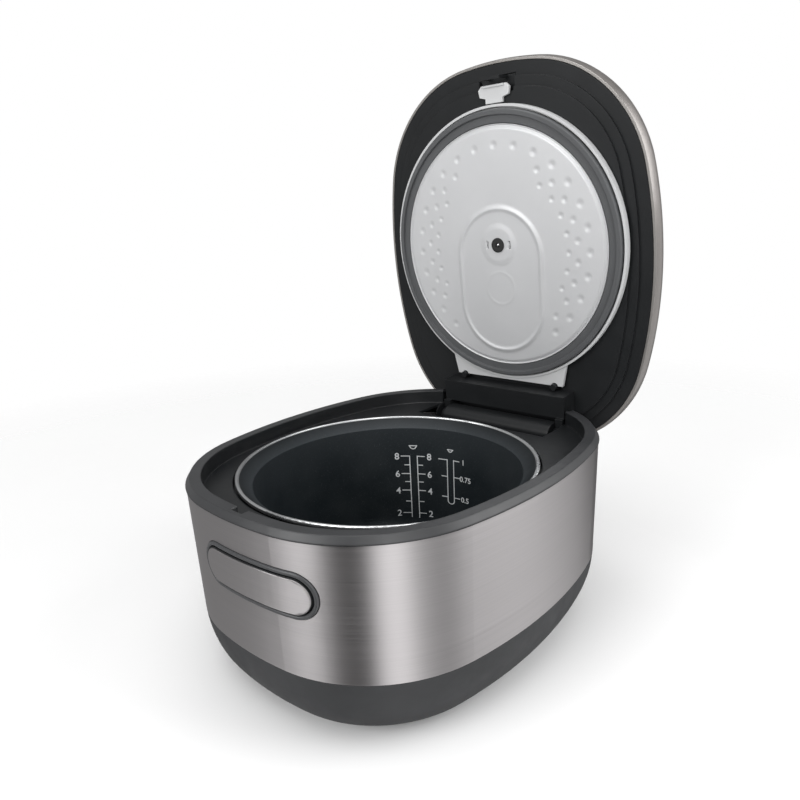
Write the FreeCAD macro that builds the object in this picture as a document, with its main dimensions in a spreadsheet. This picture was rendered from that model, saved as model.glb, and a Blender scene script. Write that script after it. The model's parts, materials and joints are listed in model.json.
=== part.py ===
import FreeCAD, Part
import math
import os
import Sketcher

# Rice cooker with its lid standing open. Millimetres, +Z up, front toward -Y.
# The origin lies on the resting plane, under the axis of the pot, the heating plate and the well.
# Lid pieces are drawn as they lie on the closed cooker, then turned open about the hinge pin.

os.makedirs("parts", exist_ok=True)
V = FreeCAD.Vector
doc = FreeCAD.newDocument("rice_cooker")
dims = doc.addObject("Spreadsheet::Sheet", "dims")

SIZES = [
    ("half_width", 133.4, "widest half-width of the body, at the rim's lower edge"),
    ("half_depth", 162.9, "half-depth of the body at the same level"),
    ("side_radius", 362.8, "radius of the long side arcs in plan"),
    ("end_radius", 274.5, "radius of the front and rear arcs in plan"),
    ("corner_radius", 105.9, "radius of the four corner arcs in plan"),
    ("plan_offset", 17.4, "how far the body's centre lies behind the pot axis"),
    ("rim_top", 158.5, "height of the rim"),
    ("rim_side", 5.0, "height of the rim's sloping outer side"),
    ("rim_slope", 3.4, "inset of the rim's top edge from its lower edge"),
    ("rim_width", 7.9, "flat width of the rim's top"),
    ("deck_drop", 12.0, "depth of the recessed deck below the rim"),
    ("wall", 2.5, "general plastic wall"),
    ("steel_bottom", 57.0, "height of the joint between base shell and steel band"),
    ("steel_thick", 0.8, "steel band thickness"),
    ("steel_inset", 0.6, "steel surface behind the rim's lower edge"),
    ("foot_height", 3.0, "gap under the bottom plate"),
    ("shell_bottom", 5.4, "height of the base shell's underside"),
    ("pot_rise", 2.4, "pot rim above the deck"),
    ("pot_radius", 103.5, "inside radius of the pot wall"),
    ("flange_width", 12.1, "pot rim beyond the inside of its wall"),
    ("pot_wall", 2.0, "pot wall thickness"),
    ("pot_bottom", 32.0, "height of the pot's underside"),
    ("flange_drop", 7.4, "depth of the conical flange below the pot rim"),
    ("rim_gap", 1.6, "gap round the pot rim"),
    ("well_gap", 4.0, "gap between pot wall and well"),
    ("well_thick", 0.8, "well sheet thickness"),
    ("well_drop", 8.5, "well flange below the deck"),
    ("well_depth", 12.0, "well floor below the pot"),
    ("hinge_back", 23.8, "hinge pin in front of the body's rear line"),
    ("hinge_drop", 24.6, "hinge pin below the rim"),
    ("pin_radius", 3.0, "hinge pin radius"),
    ("pin_fit", 0.05, "radial running clearance on the hinge pin"),
    ("lid_angle", 83.9, "opening angle of the lid"),
    ("lid_gap", 1.6, "gap between rim and closed lid"),
    ("lid_inset", 3.7, "inset of the lid frame behind the rim's lower edge"),
    ("lid_height", 37.9, "height of the lid above its underside"),
    ("vent_y", 75.0, "steam vent behind the pot axis"),
    ("valve_y", -6.0, "valve of the inner lid, in front of the pot axis"),
    ("lid_wall", 2.6, "lid cover wall"),
    ("step_outer", 13.6, "inset of the lid frame's first step"),
    ("step_inner", 21.0, "inset of the lid frame's second step"),
    ("step_height", 2.2, "height of each lid frame step"),
    ("arm_outer", 65.0, "half-width over the hinge arms"),
    ("arm_inner", 57.6, "half-width between the hinge arms"),
    ("arm_reach", 15.1, "free radius round the hinge pin inside the lid's hinge block"),
    ("carrier_inset", 2.0, "inner lid's carrier inside the pot rim"),
    ("gasket_inset", 5.2, "gasket inside the pot rim"),
    ("gasket_drop", 2.3, "gasket's lip below the pot rim"),
    ("plate_inset", 3.9, "inner lid plate inside the pot wall"),
    ("plate_rise", 1.4, "inner lid plate above the gasket's lip"),
    ("plate_thick", 0.8, "inner lid plate thickness"),
    ("button_x", 14.5, "button centre to the right of the middle"),
    ("button_drop", 42.0, "button centre below the rim"),
    ("button_half", 47.6, "half-length of the button face"),
    ("button_rise", 12.9, "half-height of the button face"),
    ("bezel_width", 3.4, "width of the button bezel"),
    ("heater_inset", 17.5, "heating plate inside the pot wall"),
    ("heater_thick", 8.0, "thickness of the heating plate"),
    ("coil_radius", 62.0, "radius of the heating element's ring"),
    ("tube_radius", 3.4, "radius of the heating element's tube"),
    ("sensor_radius", 13.0, "radius of the thermostat cap"),
    ("fit", 0.4, "gap between pieces that slide past each other"),
]


class Size:
    """A length together with the sheet formula that gives it."""

    def __init__(self, number, formula):
        self.number = number
        self.formula = formula

    def __add__(self, other):
        other = size(other)
        return Size(self.number + other.number, f"({self.formula} + {other.formula})")

    def __radd__(self, other):
        return size(other) + self

    def __sub__(self, other):
        other = size(other)
        return Size(self.number - other.number, f"({self.formula} - {other.formula})")

    def __rsub__(self, other):
        return size(other) - self

    def __mul__(self, other):
        other = size(other)
        return Size(self.number * other.number, f"({self.formula} * {other.formula})")

    def __rmul__(self, other):
        return size(other) * self

    def __neg__(self):
        return Size(-self.number, f"(0 - {self.formula})")


def size(value):
    if isinstance(value, Size):
        return value
    if value < 0:
        return Size(float(value), f"(0 - {-float(value)})")
    return Size(float(value), f"{float(value)}")


class Sheet:
    """Holds each named cell of the sheet as a Size."""


S = Sheet()
for row, (name, number, meaning) in enumerate(SIZES, start=1):
    dims.set(f"A{row}", name)
    dims.set(f"B{row}", str(number))
    dims.set(f"C{row}", meaning)
    dims.setAlias(f"B{row}", name)
    setattr(S, name, Size(number, f"dims.{name}"))
doc.recompute()

# Levels, radii and lines that follow from the sizes.
S.front = S.plan_offset - S.half_depth
S.rear = S.plan_offset + S.half_depth
S.deck_top = S.rim_top - S.deck_drop
S.pot_rim_top = S.deck_top + S.pot_rise
S.pot_rim_radius = S.pot_radius + S.flange_width
S.well_top = S.deck_top - S.well_drop
S.well_floor = S.pot_bottom - S.well_depth
S.hinge_y = S.rear - S.hinge_back
S.hinge_z = S.rim_top - S.hinge_drop
S.lid_plane = S.rim_top + S.lid_gap
S.lid_top = S.lid_plane + S.lid_height
S.carrier_radius = S.pot_rim_radius - S.carrier_inset
S.gasket_radius = S.pot_rim_radius - S.gasket_inset
S.gasket_low = S.pot_rim_top - S.gasket_drop
S.plate_radius = S.pot_radius - S.plate_inset
S.plate_low = S.gasket_low + S.plate_rise
S.heater_radius = S.pot_radius - S.heater_inset
S.button_z = S.rim_top - S.button_drop
S.latch_y = S.front + 11.5
S.latch_z = S.rim_top - 30.5
S.beam_front = S.hinge_y - 36.1

LID_NODES = []


# ---------------------------------------------------------------- helpers

def body(name, lid=False):
    made = doc.addObject("PartDesign::Body", name)
    made.Label = name
    made.AllowCompound = True
    if lid:
        LID_NODES.append(made)
    return made


def bind(item, **values):
    for key, value in values.items():
        value = size(value)
        setattr(item, key, value.number)
        item.setExpression(key, value.formula)


def attach(owner, item, role, x=0, y=0, z=0):
    """Puts an item on one of its body's origin planes, shifted by x, y and z in that plane's own axes."""
    plane = next(f for f in owner.Origin.OriginFeatures if f.Role == role)
    item.AttachmentSupport = [(plane, "")]
    item.MapMode = "FlatFace"
    shift = [size(x), size(y), size(z)]
    item.AttachmentOffset = FreeCAD.Placement(V(*[s.number for s in shift]), FreeCAD.Rotation())
    for axis, value in zip("xyz", shift):
        item.setExpression(f"AttachmentOffset.Base.{axis}", value.formula)


def sketch_on(owner, role, x=0, y=0, z=0):
    made = owner.newObject("Sketcher::SketchObject", owner.Name + "_sketch")
    attach(owner, made, role, x, y, z)
    return made


def drive(sketch, name, constraint, value):
    index = sketch.addConstraint(constraint)
    sketch.renameConstraint(index, name)
    sketch.setExpression(f"Constraints.{name}", value.formula)


def locate(sketch, name, geometry, point, x, y):
    """Fixes a point of a sketch at x, y from the sketch origin."""
    x, y = size(x), size(y)
    dx = Sketcher.Constraint("DistanceX", -1, 1, geometry, point, x.number)
    dy = Sketcher.Constraint("DistanceY", -1, 1, geometry, point, y.number)
    drive(sketch, name + "_x", dx, x)
    drive(sketch, name + "_y", dy, y)


def polygon(sketch, points):
    points = [(size(x), size(y)) for x, y in points]
    first = sketch.GeometryCount
    count = len(points)
    for i, (x, y) in enumerate(points):
        nx, ny = points[(i + 1) % count]
        start = V(x.number, y.number, 0)
        end = V(nx.number, ny.number, 0)
        sketch.addGeometry(Part.LineSegment(start, end), False)
    for i in range(count):
        joint = Sketcher.Constraint("Coincident", first + i, 2, first + (i + 1) % count, 1)
        sketch.addConstraint(joint)
    for i, (x, y) in enumerate(points):
        locate(sketch, f"p{first + i}", first + i, 1, x, y)


def circle(sketch, x, y, radius):
    x, y, radius = size(x), size(y), size(radius)
    centre = V(x.number, y.number, 0)
    g = sketch.addGeometry(Part.Circle(centre, V(0, 0, 1), radius.number), False)
    drive(sketch, f"r{g}", Sketcher.Constraint("Radius", g, radius.number), radius)
    locate(sketch, f"c{g}", g, 3, x, y)


def outline(sketch, inset):
    """The body's plan: eight tangent arcs, moved in from the widest line by the inset."""
    inset = size(inset)
    side = S.side_radius - inset
    end = S.end_radius - inset
    corner = S.corner_radius - inset
    side_x = S.side_radius - S.half_width
    end_y = S.end_radius - S.half_depth
    cx, cy = corner_centre()
    turn_1 = math.atan2(cy, cx + side_x.number)
    turn_2 = math.atan2(cy + end_y.number, cx)
    pi = math.pi
    arcs = [
        (-side_x.number, 0, side.number, -turn_1, turn_1),
        (cx, cy, corner.number, turn_1, turn_2),
        (0, -end_y.number, end.number, turn_2, pi - turn_2),
        (-cx, cy, corner.number, pi - turn_2, pi - turn_1),
        (side_x.number, 0, side.number, pi - turn_1, pi + turn_1),
        (-cx, -cy, corner.number, pi + turn_1, pi + turn_2),
        (0, end_y.number, end.number, pi + turn_2, 2 * pi - turn_2),
        (cx, -cy, corner.number, 2 * pi - turn_2, 2 * pi - turn_1),
    ]
    a = sketch.GeometryCount
    for x, y, radius, start, stop in arcs:
        whole = Part.Circle(V(x, y, 0), V(0, 0, 1), radius)
        sketch.addGeometry(Part.ArcOfCircle(whole, start, stop), False)
    rule = Sketcher.Constraint
    for i in range(8):
        sketch.addConstraint(rule("Tangent", a + i, 2, a + (i + 1) % 8, 1))
    sketch.addConstraint(rule("PointOnObject", a, 3, -1))
    sketch.addConstraint(rule("PointOnObject", a + 2, 3, -2))
    sketch.addConstraint(rule("Symmetric", a, 3, a + 4, 3, -1, 1))
    sketch.addConstraint(rule("Symmetric", a + 2, 3, a + 6, 3, -1, 1))
    sketch.addConstraint(rule("Equal", a, a + 4))
    sketch.addConstraint(rule("Equal", a + 2, a + 6))
    for i in (3, 5, 7):
        sketch.addConstraint(rule("Equal", a + 1, a + i))
    drive(sketch, f"side{a}", rule("Radius", a, side.number), side)
    drive(sketch, f"end{a}", rule("Radius", a + 2, end.number), end)
    drive(sketch, f"corner{a}", rule("Radius", a + 1, corner.number), corner)
    drive(sketch, f"side_x{a}", rule("DistanceX", a, 3, -1, 1, side_x.number), side_x)
    drive(sketch, f"end_y{a}", rule("DistanceY", a + 2, 3, -1, 1, end_y.number), end_y)


def corner_centre():
    """Centre of the front-right corner arc, where it touches both the side and the end arc."""
    side_x = S.half_width.number - S.side_radius.number
    end_y = S.half_depth.number - S.end_radius.number
    r_side = S.side_radius.number - S.corner_radius.number
    r_end = S.end_radius.number - S.corner_radius.number
    apart = math.hypot(side_x, end_y)
    along = (r_side**2 - r_end**2 + apart**2) / (2 * apart)
    off = math.sqrt(r_side**2 - along**2)
    ux = -side_x / apart
    uy = end_y / apart
    return side_x + along * ux - off * uy, along * uy + off * ux


def plan_sketch(owner, height, *insets):
    made = sketch_on(owner, "XY_Plane", 0, S.plan_offset, height)
    for inset in insets:
        outline(made, inset)
    return made


def pad(owner, sketch, length):
    made = owner.newObject("PartDesign::Pad", owner.Name + "_pad")
    made.Profile = sketch
    bind(made, Length=length)
    return made


def pocket_up(owner, sketch, length):
    """Cuts from the sketch upward, along its plane's normal."""
    made = owner.newObject("PartDesign::Pocket", owner.Name + "_pocket")
    made.Profile = sketch
    made.Reversed = True
    bind(made, Length=length)
    return made


def outline_pad(owner, low, high, *insets):
    return pad(owner, plan_sketch(owner, low, *insets), size(high) - low)


def outline_cut(owner, low, high, *insets):
    return pocket_up(owner, plan_sketch(owner, low, *insets), size(high) - low)


def outline_loft(owner, kind, levels, ruled=False):
    sections = [plan_sketch(owner, height, inset) for height, inset in levels]
    made = owner.newObject(f"PartDesign::{kind}Loft", owner.Name + "_loft")
    made.Profile = sections[0]
    made.Sections = sections[1:]
    made.Ruled = ruled
    return made


def turned(owner, points, kind="Revolution", x=0, y=0):
    """Turns a closed profile of radius and height about a vertical axis through x, y."""
    profile = sketch_on(owner, "XZ_Plane", x, 0, -size(y))
    polygon(profile, points)
    made = owner.newObject(f"PartDesign::{kind}", owner.Name + "_turn")
    made.Profile = profile
    made.ReferenceAxis = (profile, ["V_Axis"])
    made.Angle = 360
    return made


def box(owner, kind, x, y, z, dx, dy, dz):
    made = owner.newObject(f"PartDesign::{kind}Box", owner.Name + "_box")
    attach(owner, made, "XY_Plane", x, y, z)
    bind(made, Length=dx, Width=dy, Height=dz)
    return made


def rod(owner, kind, x, y, z, radius, height):
    """A round bar or hole standing along Z."""
    made = owner.newObject(f"PartDesign::{kind}Cylinder", owner.Name + "_rod")
    attach(owner, made, "XY_Plane", x, y, z)
    bind(made, Radius=radius, Height=height)
    return made


def rod_along_x(owner, kind, x, y, z, radius, length):
    """A round bar or hole lying along X, from x."""
    made = owner.newObject(f"PartDesign::{kind}Cylinder", owner.Name + "_rod")
    attach(owner, made, "YZ_Plane", y, z, x)
    bind(made, Radius=radius, Height=length)
    return made


def rod_along_y(owner, kind, x, y, z, radius, length):
    """A round bar or hole lying along Y, from y toward the front."""
    made = owner.newObject(f"PartDesign::{kind}Cylinder", owner.Name + "_rod")
    attach(owner, made, "XZ_Plane", x, z, -size(y))
    bind(made, Radius=radius, Height=length)
    return made


def stadium(sketch, x, z, half_length, half_height):
    """A slot shape with round ends, centred on x, z."""
    x, z = size(x), size(z)
    reach = size(half_length) - half_height
    radius = size(half_height)
    a = sketch.GeometryCount
    right = V(x.number + reach.number, z.number, 0)
    left = V(x.number - reach.number, z.number, 0)
    up = V(0, radius.number, 0)
    half = math.pi / 2
    sketch.addGeometry(Part.ArcOfCircle(Part.Circle(right, V(0, 0, 1), radius.number), -half, half))
    sketch.addGeometry(Part.LineSegment(right + up, left + up))
    sketch.addGeometry(Part.ArcOfCircle(Part.Circle(left, V(0, 0, 1), radius.number), half, 3 * half))
    sketch.addGeometry(Part.LineSegment(left - up, right - up))
    rule = Sketcher.Constraint
    for i in range(4):
        sketch.addConstraint(rule("Tangent", a + i, 2, a + (i + 1) % 4, 1))
    sketch.addConstraint(rule("Horizontal", a + 1))
    drive(sketch, f"round{a}", rule("Radius", a, radius.number), radius)
    locate(sketch, f"right{a}", a, 3, x + reach, z)
    left_x = x - reach
    drive(sketch, f"left{a}", rule("DistanceX", -1, 1, a + 2, 3, left_x.number), left_x)


def coil(owner, x, y, z, radius, wire, pitch, height):
    """A coil spring standing along Z."""
    profile = sketch_on(owner, "XZ_Plane", x, z, -size(y))
    circle(profile, radius, 0, wire)
    made = owner.newObject("PartDesign::AdditiveHelix", owner.Name + "_helix")
    made.Profile = profile
    made.ReferenceAxis = (profile, ["V_Axis"])
    made.Mode = 0
    bind(made, Pitch=pitch, Height=height)
    return made


def round_edges(owner, feature, radius, chosen):
    """Rounds the edges of a feature that the chosen test picks."""
    doc.recompute()
    names = [f"Edge{i}" for i, e in enumerate(feature.Shape.Edges, start=1) if chosen(e)]
    made = owner.newObject("PartDesign::Fillet", owner.Name + "_fillet")
    made.Base = (feature, names)
    bind(made, Radius=radius)
    return made


def at_height(z):
    z = size(z).number
    return lambda e: abs(e.BoundBox.ZMin - z) < 0.01 and abs(e.BoundBox.ZMax - z) < 0.01


# ---------------------------------------------------------------- body of the cooker

BOSS_PLACES = [(-70, -50), (70, -50), (-70, 85), (70, 85)]
FOOT_PLACES = [(-58, -66), (58, -66), (-58, 101), (58, 101)]


def base_shell():
    """Lower tub: curves in to the bottom and carries the bottom plate, inlet and circuit board."""
    b = body("base_shell")
    top = S.steel_bottom
    low = S.shell_bottom
    outline_loft(b, "Additive", [(low, 30), (11, 18), (22, 9.5), (40, 2.8), (top, 0.6)])
    outline_loft(b, "Subtractive", [(low + 2.6, 34), (13, 20.7), (23, 12), (40, 5.5), (top, 3.2)])
    lip = S.steel_inset + S.steel_thick + S.fit
    outline_pad(b, top - 3, top + 6, lip, lip + 2)
    outline_cut(b, low - 1, low + 4, 64)
    for side in (-1, 1):
        box(b, "Additive", side * 58 - 5, S.rear - 33.7, 30, 10, 8, 82)
        box(b, "Additive", side * 58 - 5, S.rear - 27, 30, 10, 20, 4)
        box(b, "Subtractive", side * 52 - 4.2, S.rear - 30.5, 53.8, 8.4, 1.8, 60)
    box(b, "Subtractive", -16.4, S.rear - 24.3, 25.6, 32.8, 40, 24.8)
    for x, y in BOSS_PLACES:
        rod(b, "Additive", x, y, low + 0.1, 5, 14)
        rod(b, "Subtractive", x, y, low - 1, 1.6, 13)


def bottom_plate():
    """Screwed cover under the heater, with two rows of air slots."""
    b = body("bottom_plate")
    outline_pad(b, S.foot_height, S.shell_bottom - 0.2, 48)
    for i in range(-4, 5):
        box(b, "Subtractive", i * 10 - 2, -36, 1, 4, 34, 6)
        box(b, "Subtractive", i * 10 - 2, 42, 1, 4, 34, 6)
    for x, y in BOSS_PLACES:
        rod(b, "Subtractive", x, y, 1, 2, 6)


def feet():
    """Four round rubber feet."""
    b = body("feet")
    for x, y in FOOT_PLACES:
        rod(b, "Additive", x, y, 0, 9, S.foot_height)


def case_screws():
    """Four screws that hold the bottom plate to the base shell."""
    b = body("case_screws")
    for x, y in BOSS_PLACES:
        rod(b, "Additive", x, y, S.foot_height - 1.6, 3.4, 1.6)
        rod(b, "Additive", x, y, S.foot_height - 0.5, 1.55, 12)
        box(b, "Subtractive", x - 2.4, y - 0.5, S.foot_height - 2, 4.8, 1, 1.2)


def steel_band():
    """Brushed steel band round the body, open at the back for the hinge and at the front for the button."""
    b = body("steel_band")
    outer = S.steel_inset
    low = S.steel_bottom + 0.2
    high = S.rim_top - S.rim_side - 0.2
    outline_pad(b, low, high, outer, outer + S.steel_thick)
    window = sketch_on(b, "XZ_Plane", 0, 0, 100)
    reach = S.bezel_width + S.fit
    stadium(window, S.button_x, S.button_z, S.button_half + reach, S.button_rise + reach)
    cut = b.newObject("PartDesign::Pocket", "steel_window")
    cut.Profile = window
    cut.Reversed = True
    bind(cut, Length=90)
    half = S.arm_outer + 5
    box(b, "Subtractive", -half, S.hinge_y - 6.5, S.hinge_z - 15.9, half * 2, 40, 60)


def deck():
    """Rim and recessed deck that close the top of the body round the pot."""
    b = body("deck")
    low = S.rim_top - 24
    joint = S.rim_top - S.rim_side
    skirt = S.steel_inset + S.steel_thick + S.fit
    inner = S.rim_slope + S.rim_width
    floor = S.deck_top - S.wall
    outline_pad(b, low, joint, skirt)
    outline_loft(b, "Additive", [(joint, 0), (S.rim_top, S.rim_slope)], ruled=True)
    outline_cut(b, S.deck_top, S.rim_top, inner)
    outline_cut(b, low, floor, skirt + S.wall)
    outline_cut(b, floor - 0.5, S.rim_top - S.wall, skirt + S.wall, inner - S.wall)
    hole = S.pot_rim_radius + S.rim_gap
    ledge = S.pot_radius + S.pot_wall + S.well_gap + S.well_thick + 1
    under = S.well_top + 0.1
    turned(b, [(ledge, under), (hole + S.wall, under), (hole + S.wall, S.deck_top), (ledge, S.deck_top)])
    rod(b, "Subtractive", 0, 0, S.deck_top - 4.5, hole, 20)
    rod(b, "Subtractive", 0, 0, under - 5, ledge, 30)
    half = S.arm_outer + 2.2
    box(b, "Subtractive", -half, S.beam_front - 2.8, low - 2, half * 2, 80, 60)
    for x in (-(half + 3), half - 0.5):
        box(b, "Subtractive", x, S.hinge_y + 2, S.rim_top - 1.6, 3.5, 11, 3)
    for x in (-8.5, 6):
        box(b, "Additive", x, S.latch_y - 2.6, S.latch_z - 6, 2.5, 6.2, 22.5)
    rod_along_x(b, "Subtractive", -12, S.latch_y, S.latch_z, 1.5, 24)
    box(b, "Subtractive", -6, S.latch_y - 8.9, S.latch_z + 5, 12, 3.9, 23)
    box(b, "Subtractive", -6, S.latch_y - 5.6, S.deck_top, 12, 8, 20)


def hinge_housing():
    """Black insert at the back of the deck: a shelf for the lid's hinge block and a rounded housing for the pin."""
    b = body("hinge_housing")
    half = S.arm_outer + 1.8
    front = S.hinge_y - 13.3
    back = S.hinge_y + 11.5
    floor = S.hinge_z - 15
    slot_low = floor + S.wall
    block = box(b, "Additive", -half, front, floor, half * 2, back - front, S.deck_top - floor)
    top_edges = at_height(S.deck_top)
    round_edges(b, block, 9.5, lambda e: top_edges(e) and e.BoundBox.XLength > 10)
    box(b, "Additive", -half, front, floor, half * 2, S.rear - 1.1 - front, S.wall)
    box(b, "Additive", -half, S.beam_front - 2.4, S.hinge_z + 0.1, half * 2, 26.4, 2.2)
    clear = S.arm_inner - 0.6
    for x in (-(S.arm_outer + 0.6), clear):
        box(b, "Subtractive", x, front - 3.2, slot_low, S.arm_outer + 0.6 - clear, 28.2, 60)
    rod_along_x(b, "Subtractive", -80, S.hinge_y, S.hinge_z, S.pin_radius + S.pin_fit, 160)
    box(b, "Subtractive", -24, S.hinge_y - 8.5, S.hinge_z - 8.6, 32, 25, 17)


def hinge_pin():
    """Steel pin that the lid turns on."""
    b = body("hinge_pin")
    reach = S.arm_outer + 1.8
    rod_along_x(b, "Additive", -reach, S.hinge_y, S.hinge_z, S.pin_radius, reach * 2)


def lid_spring():
    """Torsion spring round the hinge pin that swings the lid up."""
    b = body("lid_spring")
    profile = sketch_on(b, "XY_Plane", -21, S.hinge_y, S.hinge_z)
    circle(profile, 0, 4.8, 0.9)
    made = b.newObject("PartDesign::AdditiveHelix", "lid_spring_helix")
    made.Profile = profile
    made.ReferenceAxis = (profile, ["H_Axis"])
    made.Mode = 0
    bind(made, Pitch=2.4, Height=26)


def front_piece(b, outer, inner, stadiums):
    """A piece with the plan of the front wall between two insets, cut to slot shapes seen from the front."""
    outline_pad(b, S.button_z - 24, S.button_z + 24, outer, inner)
    frame = sketch_on(b, "XZ_Plane", 0, 0, 20)
    low = S.button_z - 50
    high = S.button_z + 50
    polygon(frame, [(-200, low), (200, low), (200, high), (-200, high)])
    for reach in stadiums:
        stadium(frame, S.button_x, S.button_z, S.button_half + reach, S.button_rise + reach)
    cut = b.newObject("PartDesign::Pocket", b.Name + "_trim")
    cut.Profile = frame
    cut.Reversed = True
    bind(cut, Length=180)
    box(b, "Subtractive", -200, -21, low, 400, 240, 100)


def button_bezel():
    """Raised ring round the lid button, following the curve of the front."""
    front_piece(body("button_bezel"), -0.9, 4.2, [S.bezel_width, S.fit])


def release_button():
    """Plastic button behind the steel face, with the plunger that tips the latch."""
    b = body("release_button")
    front_piece(b, -0.9, 3.4, [0])
    box(b, "Additive", -4, S.front + 2.5, S.button_z - 11.5, 8, 5.9, 6)
    for x in SPRING_PLACES:
        rod_along_y(b, "Additive", x, S.front + 9, S.button_z - 4.5, 2.2, 6)


SPRING_PLACES = [-20, 30]


def button_plate():
    """Brushed steel face of the button."""
    front_piece(body("button_plate"), -1.6, -0.95, [-0.8])


def button_springs():
    """Two small coil springs that push the button out."""
    b = body("button_springs")
    for x in SPRING_PLACES:
        profile = sketch_on(b, "YZ_Plane", S.front + 9.7, S.button_z - 4.5, x)
        circle(profile, 0, 3.0, 0.4)
        made = b.newObject("PartDesign::AdditiveHelix", "button_spring_helix")
        made.Profile = profile
        made.ReferenceAxis = (profile, ["H_Axis"])
        made.Mode = 0
        bind(made, Pitch=1.9, Height=7.6)


def spring_plate():
    """Plate behind the button that its springs push against; hangs from the deck's skirt."""
    b = body("spring_plate")
    y = S.front + 17.7
    low = S.button_z - 12.5
    top = S.deck_top - S.wall
    for x in (-26, 22):
        box(b, "Additive", x, y, low, 18, 2, 30)
    box(b, "Additive", -26, y, low + 28, 66, 2, top - low - 28)


def latch_rocker():
    """Lever with the barb that holds the lid shut; the button's plunger tips it back."""
    b = body("latch_rocker")
    profile = sketch_on(b, "YZ_Plane", 0, 0, -5)
    shape = [
        (-5, 1), (-5, 27.4), (-3.4, 27.6), (2.1, 23.9), (2.1, 22.7), (-3, 22.7), (-3, 5), (2.5, 2.5),
        (2.5, -2.5), (0.5, -5), (0.5, -25), (-2.8, -25), (-2.8, -4),
    ]
    polygon(profile, [(S.latch_y + y, S.latch_z + z) for y, z in shape])
    pad(b, profile, 10)
    rod_along_x(b, "Subtractive", -6, S.latch_y, S.latch_z, 1.5 + S.pin_fit, 12)


def latch_pin():
    """Pivot pin of the latch lever."""
    rod_along_x(body("latch_pin"), "Additive", -8.5, S.latch_y, S.latch_z, 1.5, 17)


# ---------------------------------------------------------------- heating and power

def well():
    """Sheet-metal bucket that the pot hangs in, with a flange under the deck and an open floor."""
    b = body("well")
    inner = S.pot_radius + S.pot_wall + S.well_gap
    outer = inner + S.well_thick
    low = S.well_floor
    top = S.well_top
    hole = S.heater_radius - 11
    flange = inner + 8.1
    turned(b, [
        (hole, low), (outer - 5, low), (outer, low + 5), (outer, top - S.well_thick), (flange, top - S.well_thick),
        (flange, top), (inner, top), (inner, low + 5.4), (inner - 4.8, low + S.well_thick),
        (hole, low + S.well_thick),
    ])


def heating_plate():
    """Cast plate that the pot stands on, grooved below for the heating element."""
    b = body("heating_plate")
    top = S.pot_bottom
    low = top - S.heater_thick
    hole = S.sensor_radius + 1
    edge = S.heater_radius
    turned(b, [(hole, low), (edge - 3, low), (edge, low + 3), (edge, top - 2), (edge - 2, top), (hole, top)])
    groove = sketch_on(b, "XZ_Plane", 0, low)
    circle(groove, S.coil_radius, 0, S.tube_radius + 0.3)
    cut = b.newObject("PartDesign::Groove", "heater_groove")
    cut.Profile = groove
    cut.ReferenceAxis = (groove, ["V_Axis"])
    cut.Angle = 360
    leg = edge - 6.5
    for x, y in ((0, -leg), (leg * 0.866, leg * 0.5), (-leg * 0.866, leg * 0.5)):
        rod(b, "Additive", x, y, S.well_floor + S.well_thick, 4, low - S.well_floor - S.well_thick + 1)


def heater_element():
    """Tubular heating ring under the plate, with its two terminals."""
    b = body("heater_element")
    low = S.pot_bottom - S.heater_thick
    ring = sketch_on(b, "XZ_Plane", 0, low)
    circle(ring, S.coil_radius, 0, S.tube_radius)
    made = b.newObject("PartDesign::Revolution", "heater_ring")
    made.Profile = ring
    made.ReferenceAxis = (ring, ["V_Axis"])
    made.Angle = 360
    for x in (-12, 12):
        rod(b, "Additive", x, S.coil_radius - 1.2, low - 12, 2.2, 12)


def sensor_cap():
    """Thermostat cap in the middle of the heating plate, pressed up against the pot."""
    r = S.sensor_radius
    top = S.pot_bottom
    turned(body("sensor_cap"), [
        (r - 1, top - 9), (r, top - 9), (r, top - 0.8), (r - 0.8, top), (0, top), (0, top - 1), (r - 1, top - 1),
    ])


def sensor_holder():
    """Bracket and guide tube that carry the thermostat cap under the well."""
    b = body("sensor_holder")
    low = S.well_floor - 10.6
    reach = S.heater_radius - 2
    box(b, "Additive", -reach, -8, low, reach * 2, 16, 1.6)
    for x in (-reach, reach - 7):
        box(b, "Additive", x, -8, low, 7, 16, 10.6)
    r = S.sensor_radius
    turned(b, [(r - 3, low + 1), (r - 1.6, low + 1), (r - 1.6, S.pot_bottom - 6), (r - 3, S.pot_bottom - 6)])


def sensor_spring():
    """Coil spring under the thermostat cap."""
    b = body("sensor_spring")
    coil(b, 0, 0, S.well_floor - 8, 7.6, 0.7, 3, 17.4)


def thermal_fuse():
    """Thermal cut-out lying on the sensor bracket."""
    b = body("thermal_fuse")
    z = S.well_floor - 9 + 3
    rod_along_x(b, "Additive", 28, 0, z, 3, 22)
    rod_along_x(b, "Additive", 22, 0, z, 0.6, 34)


def power_board():
    """Upright circuit board behind the well."""
    box(body("power_board"), "Additive", -56, S.rear - 30.4, 54, 112, 1.6, 56)


def board_parts():
    """Transformer, relay and capacitor on the power board."""
    b = body("board_parts")
    face = S.rear - 30.4
    box(b, "Additive", -40, face - 23.9, 60, 32, 23.9, 28)
    box(b, "Additive", 8, face - 15.9, 62, 20, 15.9, 16)
    rod_along_y(b, "Additive", 40, face, 72, 7, 20)


def power_inlet():
    """Socket for the mains lead at the back of the base."""
    b = body("power_inlet")
    box(b, "Additive", -16, S.rear - 27.3, 26, 32, 25.6, 24)
    box(b, "Subtractive", -12.6, S.rear - 20.3, 30, 25.2, 30, 16)


def inlet_pins():
    """Three contact pins of the inlet."""
    b = body("inlet_pins")
    for x, z in ((-7, 36), (7, 36), (0, 41)):
        rod_along_y(b, "Additive", x, S.rear - 6.3, z, 2, 14)


# ---------------------------------------------------------------- pot

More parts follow.
